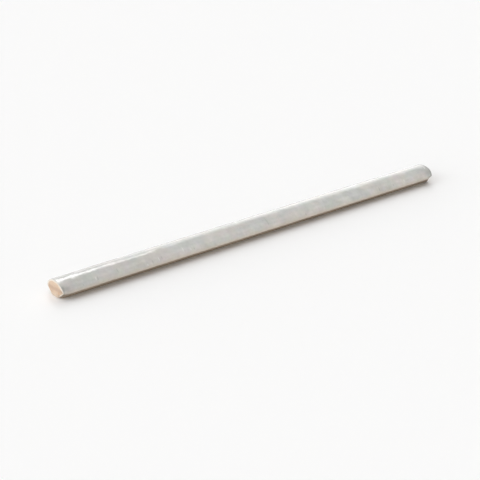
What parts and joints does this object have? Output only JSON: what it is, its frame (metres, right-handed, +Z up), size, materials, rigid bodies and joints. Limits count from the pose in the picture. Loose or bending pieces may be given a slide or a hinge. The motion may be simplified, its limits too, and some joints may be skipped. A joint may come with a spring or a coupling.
{
  "type": "rounded edge tile",
  "caption": "Slim straight trim tile of fired clay with a domed glazed face, sides that lean in below its shoulders, and a narrow flat back.",
  "frame": {"origin": "middle of the flat back, on the surface that the bar lies on", "axes": "+X along the bar, +Y across it, away from the viewer of its front, +Z up through the domed face"},
  "size_m": [0.2, 0.0126, 0.0074],
  "materials": {
    "glazed_clay": "glossy, slightly uneven off-white glaze on the domed face, and bare peach clay on the ends and the back"
  },
  "bodies": {
    "root": {"edge_tile": "glazed_clay"}
  },
  "joints": []
}
